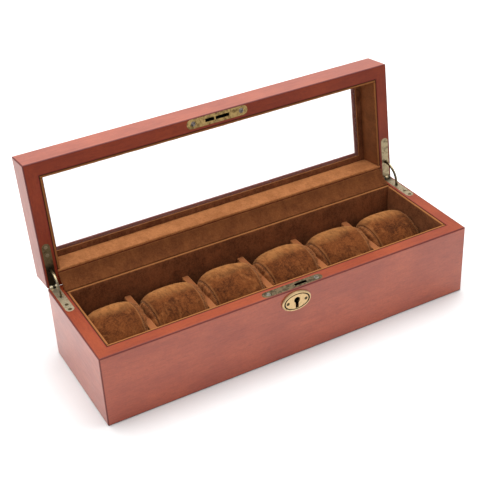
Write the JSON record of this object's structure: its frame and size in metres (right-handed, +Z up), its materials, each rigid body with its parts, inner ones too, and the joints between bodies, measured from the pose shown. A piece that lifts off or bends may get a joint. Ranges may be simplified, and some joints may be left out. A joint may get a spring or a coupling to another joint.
{
  "type": "watch box",
  "caption": "Long wooden watch box with velvet bays and pillows, a glazed lid on quadrant hinges and a mortise lock, standing open.",
  "frame": {"origin": "middle of the underside, on the surface that the box stands on", "axes": "+X to the right along the box's length, +Y to the hinge side, +Z up; the lid is open at rest"},
  "size_m": [0.33, 0.1458, 0.1676],
  "materials": {
    "stained_wood": "cherry stain under satin lacquer",
    "plywood": "raw",
    "lining_velvet": "short brown velvet on board",
    "pillow_velvet": "soft brown velvet",
    "felt": "matt felt",
    "antique_brass": "aged, satin",
    "dark_brass": "aged, dark",
    "clear_glass": "clear float glass"
  },
  "bodies": {
    "base": {"base_front_wall": "stained_wood", "base_right_wall": "stained_wood", "base_rear_wall": "stained_wood", "base_left_wall": "stained_wood", "bottom_panel": "plywood", "underside_felt": "felt", "base_front_lining": "lining_velvet", "base_right_lining": "lining_velvet", "base_rear_lining": "lining_velvet", "base_left_lining": "lining_velvet", "floor_lining": "lining_velvet", "divider_1": "lining_velvet", "divider_2": "lining_velvet", "divider_3": "lining_velvet", "divider_4": "lining_velvet", "divider_5": "lining_velvet", "cloth_hinge_strip": "lining_velvet", "base_leaf_left": "antique_brass", "base_leaf_right": "antique_brass", "hinge_pins": "dark_brass", "base_hinge_screws": "dark_brass", "lock_case": "dark_brass", "lock_faceplate": "antique_brass", "lock_screws": "dark_brass", "escutcheon": "antique_brass", "escutcheon_pins": "dark_brass"},
    "lid": {"lid_front_wall": "stained_wood", "lid_right_wall": "stained_wood", "lid_rear_wall": "stained_wood", "lid_left_wall": "stained_wood", "window_front_rail": "stained_wood", "window_right_rail": "stained_wood", "window_rear_rail": "stained_wood", "window_left_rail": "stained_wood", "window_glass": "clear_glass", "window_border_lining": "lining_velvet", "lid_front_lining": "lining_velvet", "lid_right_lining": "lining_velvet", "lid_rear_lining": "lining_velvet", "lid_left_lining": "lining_velvet", "lid_leaf_left": "antique_brass", "lid_leaf_right": "antique_brass", "lid_hinge_screws": "dark_brass", "strike_plate": "antique_brass", "strike_screws": "dark_brass"},
    "left_quadrant": {"quadrant_arm_left": "antique_brass"},
    "right_quadrant": {"quadrant_arm_right": "antique_brass"},
    "bolt": {"lock_bolt": "antique_brass"},
    "cushion_1": {"pillow_1": "pillow_velvet"},
    "cushion_2": {"pillow_2": "pillow_velvet"},
    "cushion_3": {"pillow_3": "pillow_velvet"},
    "cushion_4": {"pillow_4": "pillow_velvet"},
    "cushion_5": {"pillow_5": "pillow_velvet"},
    "cushion_6": {"pillow_6": "pillow_velvet"}
  },
  "joints": [
    {"name": "lid_hinge", "type": "hinge", "parent": "base", "child": "lid", "pos_m": [0, 0.0525, 0.0635], "axis": [-1, 0, 0], "range_deg": [-97, 0], "deforming": ["cloth_hinge_strip"]},
    {"name": "left_quadrant_swing", "type": "hinge", "parent": "base", "child": "left_quadrant", "pos_m": [0, 0.0525, 0.0635], "axis": [-1, 0, 0], "range_deg": [-48.5, 0]},
    {"name": "right_quadrant_swing", "type": "hinge", "parent": "base", "child": "right_quadrant", "pos_m": [0, 0.0525, 0.0635], "axis": [-1, 0, 0], "range_deg": [-48.5, 0]},
    {"name": "bolt_turn", "type": "hinge", "parent": "base", "child": "bolt", "pos_m": [0, -0.0476, 0.0539], "axis": [0, -1, 0], "range_deg": [0, 85]},
    {"name": "cushion_1_lift", "type": "slide", "parent": "base", "child": "cushion_1", "axis": [0, 0, 1], "range_m": [0, 0.065]},
    {"name": "cushion_2_lift", "type": "slide", "parent": "base", "child": "cushion_2", "axis": [0, 0, 1], "range_m": [0, 0.065]},
    {"name": "cushion_3_lift", "type": "slide", "parent": "base", "child": "cushion_3", "axis": [0, 0, 1], "range_m": [0, 0.065]},
    {"name": "cushion_4_lift", "type": "slide", "parent": "base", "child": "cushion_4", "axis": [0, 0, 1], "range_m": [0, 0.065]},
    {"name": "cushion_5_lift", "type": "slide", "parent": "base", "child": "cushion_5", "axis": [0, 0, 1], "range_m": [0, 0.065]},
    {"name": "cushion_6_lift", "type": "slide", "parent": "base", "child": "cushion_6", "axis": [0, 0, 1], "range_m": [0, 0.065]}
  ],
  "couplings": [
    {"joint": "left_quadrant_swing", "follows": "lid_hinge", "ratio": 0.5},
    {"joint": "right_quadrant_swing", "follows": "lid_hinge", "ratio": 0.5}
  ]
}
